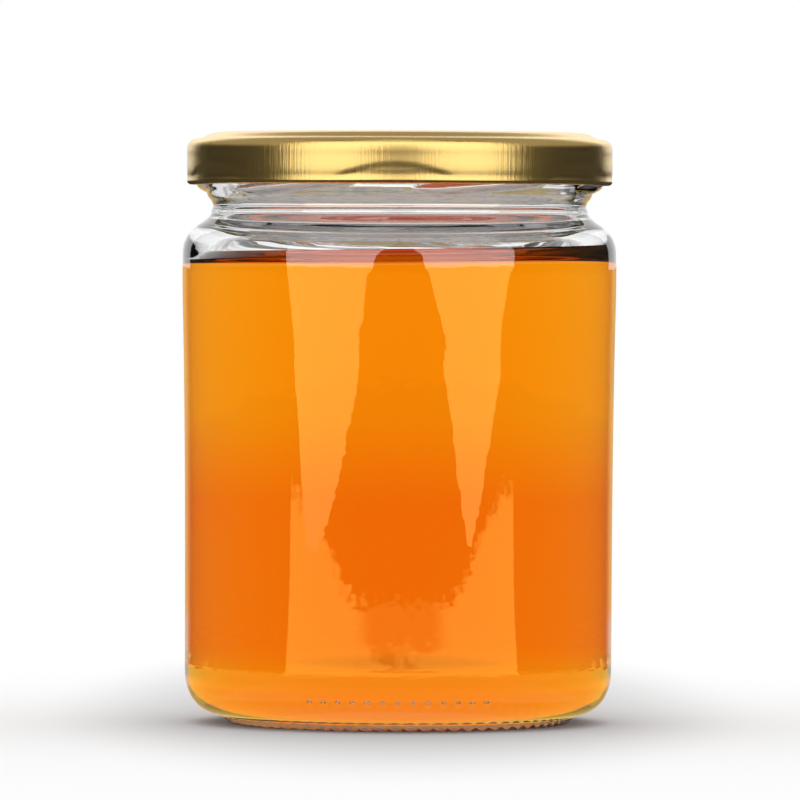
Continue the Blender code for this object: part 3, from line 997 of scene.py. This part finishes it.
def add_softbox(name, rows, strength):
    """A glowing panel round the jar that shows in its shine alone."""
    bpy.ops.mesh.primitive_grid_add(x_subdivisions=SOFTBOX_COLUMNS, y_subdivisions=len(rows) - 1, size=1)
    panel = bpy.context.object
    panel.name = name
    for vertex in panel.data.vertices:
        height, left, right = rows[round((vertex.co.y + 0.5) * (len(rows) - 1))]
        turn = math.radians(left + (right - left) * (vertex.co.x + 0.5))
        set_polar(vertex.co, turn, SOFTBOX_DISTANCE, height)
    panel.data.materials.append(softbox_material(name, strength))
    panel.visible_camera = panel.visible_diffuse = panel.visible_transmission = False
    panel.visible_shadow = False


def add_overhead(strength):
    """A wide light above, for the soft shadow round the jar's foot."""
    bpy.ops.object.light_add(type="AREA", location=OVERHEAD_PLACE)
    light = bpy.context.object
    light.name = "overhead"
    light.data.shape = "DISK"
    light.data.size = OVERHEAD_SIZE
    light.data.energy = strength
    light.visible_camera = light.visible_glossy = light.visible_transmission = False


def build_world(stage):
    """White to the camera, and round the glass a white background that ends in a dimmer room."""
    world = bpy.data.worlds.new("studio")
    bpy.context.scene.world = world
    world.use_nodes = True
    nodes, links = world.node_tree.nodes, world.node_tree.links
    nodes.clear()
    maths, rise, fall = node_maths(nodes, links)
    place = nodes.new("ShaderNodeTexCoord").outputs["Generated"]
    across, forward, up = split_place(nodes, links, place)
    turn = maths("ABSOLUTE", maths("ARCTAN2", across, forward))
    height = maths("ARCSINE", up)
    path = nodes.new("ShaderNodeLightPath")
    blurred = maths("SUBTRACT", 1, path.outputs["Is Singular Ray"])

    behind = maths("MULTIPLY", fall(turn, *BACK_SIDE), fall(height, *BACK_TOP))
    shine = maths("MULTIPLY_ADD", behind, stage.white, ROOM_GLOW)
    in_front = maths("MULTIPLY", blurred, rise(turn, *FRONT_SIDE))
    shine = maths("MULTIPLY_ADD", in_front, stage.fill, shine)
    above = maths("MULTIPLY", blurred, rise(height, *ABOVE_LOW))
    above = maths("MULTIPLY", above, fall(turn, *ABOVE_SIDE))
    shine = maths("MULTIPLY_ADD", above, ABOVE_GLOW, shine)
    kept = maths("SUBTRACT", 1, maths("MULTIPLY", rise(height, *CEILING_LOW), CEILING_LOSS))
    through = maths("MULTIPLY", kept, stage.through)

    shown = maths("MULTIPLY", reflected_only(nodes, links), shine)
    for ray, strength in (("Is Transmission Ray", through), ("Is Diffuse Ray", stage.ambient),
                          ("Is Camera Ray", stage.white)):
        shown = maths("MULTIPLY_ADD", path.outputs[ray], strength, shown)
    light = nodes.new("ShaderNodeBackground")
    light.inputs["Color"].default_value = WHITE
    links.new(shown, light.inputs["Strength"])
    output = nodes.new("ShaderNodeOutputWorld")
    links.new(light.outputs["Background"], output.inputs["Surface"])


def lit_table(nodes, links, place, reach):
    """How lit the table looks at a place, which gives the softboxes' images their lower ends."""
    maths, rise, fall = node_maths(nodes, links)
    across, back, _ = split_place(nodes, links, place)
    uneven = maths("SUBTRACT", add_cloud(nodes, links, place, *TABLE_CLOUD), 0.5)
    turn = maths("ARCTAN2", across, maths("MULTIPLY", back, -1))
    turn = maths("ABSOLUTE", maths("SUBTRACT", turn, TABLE_MIDDLE))
    far = maths("MULTIPLY_ADD", uneven, TABLE_UNEVEN, reach)
    edge = maths("MULTIPLY_ADD", rise(turn, *TABLE_WIDEN), TABLE_MORE, TABLE_REACH)
    lit = fall(maths("DIVIDE", far, edge), *TABLE_EDGE)
    lit = maths("MULTIPLY", lit, fall(turn, *TABLE_SIDE))
    spot = maths("MULTIPLY", rise(far, *SPOT_FAR), fall(turn, *SPOT_SIDE))
    lit = maths("MULTIPLY", lit, maths("SUBTRACT", 1, maths("MULTIPLY", spot, SPOT_LOSS)))
    near = maths("MULTIPLY", fall(far, *NEAR_BAND), NEAR_GLOW)
    return maths("MAXIMUM", maths("MULTIPLY", lit, rise(far, *TABLE_START)), near)


def floor_shine(nodes, links, place, reach):
    """The floor's colour in shine: dark, with the lit table in front and a pale part behind the jar."""
    maths, rise, fall = node_maths(nodes, links)
    across, back, _ = split_place(nodes, links, place)
    sharp = nodes.new("ShaderNodeLightPath").outputs["Is Singular Ray"]
    lit = maths("MULTIPLY", lit_table(nodes, links, place, reach), sharp)
    table = mix_colours(nodes, links, lit, TABLE_DARK, TABLE_SHINE)
    aside = maths("SUBTRACT", maths("ABSOLUTE", across), BEHIND_EDGE)
    behind = maths("MULTIPLY", fall(maths("ARCTAN2", aside, back), *BEHIND_SIDE), rise(back, *BEHIND_START))
    between = maths("MULTIPLY", fall(reach, *PALE_FAR), rise(reach, *PALE_NEAR))
    pale = mix_colours(nodes, links, between, PALE_END, PALE_SHINE)
    return mix_colours(nodes, links, maths("MULTIPLY", behind, sharp), table, pale)


def add_floor(stage):
    """A round white floor, dim in the glass's own shine so that the honey keeps its depth."""
    bpy.ops.mesh.primitive_circle_add(vertices=96, radius=FLOOR_RADIUS, fill_type="NGON")
    floor = bpy.context.object
    floor.name = "pale_floor"
    material, nodes, links = new_material("Pale floor")
    maths, rise, _ = node_maths(nodes, links)
    place = nodes.new("ShaderNodeNewGeometry").outputs["Position"]
    across, back, _ = split_place(nodes, links, place)
    length = nodes.new("ShaderNodeVectorMath")
    length.operation = "LENGTH"
    links.new(place, length.inputs[0])
    reach = length.outputs["Value"]

    deep = maths("DIVIDE", maths("SUBTRACT", back, SHADE_BACK), SHADE_DEEP)
    away = maths("SQRT", maths("MULTIPLY_ADD", deep, deep, maths("MULTIPLY", across, across)))
    shade = maths("MULTIPLY_ADD", rise(away, *SHADE_BAND), 1 - SHADE_LEFT, SHADE_LEFT)
    paint = nodes.new("ShaderNodeCombineColor")
    for name in ("Red", "Green", "Blue"):
        links.new(maths("MULTIPLY", shade, FLOOR_WHITE), paint.inputs[name])
    matt = nodes["Principled BSDF"]
    links.new(paint.outputs["Color"], matt.inputs["Base Color"])
    matt.inputs["Roughness"].default_value = 1.0
    matt.inputs["Specular IOR Level"].default_value = 0.0
    white = nodes.new("ShaderNodeEmission")
    links.new(maths("MULTIPLY", shade, stage.white), white.inputs["Strength"])
    path = nodes.new("ShaderNodeLightPath")
    through = maths("MULTIPLY", path.outputs["Is Transmission Ray"], HAZE_THROUGH)
    haze = maths("MAXIMUM", rise(reach, *HAZE_BAND), through)
    plain = mix_shaders(nodes, links, haze, matt.outputs["BSDF"], white.outputs["Emission"])

    shine = nodes.new("ShaderNodeEmission")
    links.new(floor_shine(nodes, links, place, reach), shine.inputs["Color"])
    shine.inputs["Strength"].default_value = stage.table_shine
    shown = mix_shaders(nodes, links, reflected_only(nodes, links), plain, shine.outputs["Emission"])
    links.new(shown, nodes["Material Output"].inputs["Surface"])
    floor.data.materials.append(material)


class JAR_OT_stage(bpy.types.Operator):
    """Sets up the camera, the pale floor, the white background and the softboxes"""

    bl_idname = "honey_jar.stage"
    bl_label = "Add stage"

    def execute(self, context):
        stage = context.scene.honey_jar_stage
        start_afresh()
        add_camera()
        add_floor(stage)
        build_world(stage)
        add_softbox("softbox_left", SOFTBOX_LEFT, stage.softbox)
        add_softbox("softbox_right", SOFTBOX_RIGHT, stage.softbox)
        add_overhead(stage.overhead)
        context.scene.view_settings.view_transform = "Standard"
        return {"FINISHED"}


class JAR_PT_panel(bpy.types.Panel):
    """Lists the jar's settings and the operators that build it"""

    bl_idname = "JAR_PT_panel"
    bl_label = "Honey Jar"
    bl_space_type = "VIEW_3D"
    bl_region_type = "UI"
    bl_category = "Honey Jar"

    def draw(self, context):
        scene = context.scene
        for settings, operator in (
            (scene.honey_jar_glass, JAR_OT_glass),
            (scene.honey_jar_honey, JAR_OT_honey),
            (scene.honey_jar_lid, JAR_OT_lid),
            (scene.honey_jar_stage, JAR_OT_stage),
        ):
            column = self.layout.column(align=True)
            for name in settings.__annotations__:
                column.prop(settings, name)
            column.operator(operator.bl_idname)


CLASSES = (
    GlassSettings, HoneySettings, LidSettings, StageSettings,
    JAR_OT_glass, JAR_OT_honey, JAR_OT_lid, JAR_OT_stage, JAR_PT_panel,
)


def register():
    for cls in CLASSES:
        bpy.utils.register_class(cls)
    bpy.types.Scene.honey_jar_glass = PointerProperty(type=GlassSettings)
    bpy.types.Scene.honey_jar_honey = PointerProperty(type=HoneySettings)
    bpy.types.Scene.honey_jar_lid = PointerProperty(type=LidSettings)
    bpy.types.Scene.honey_jar_stage = PointerProperty(type=StageSettings)


def unregister():
    del bpy.types.Scene.honey_jar_stage
    del bpy.types.Scene.honey_jar_lid
    del bpy.types.Scene.honey_jar_honey
    del bpy.types.Scene.honey_jar_glass
    for cls in reversed(CLASSES):
        bpy.utils.unregister_class(cls)


def main():
    register()
    bpy.ops.honey_jar.glass()
    bpy.ops.honey_jar.honey()
    bpy.ops.honey_jar.lid()
    bpy.ops.honey_jar.stage()


if __name__ == "__main__":
    main()
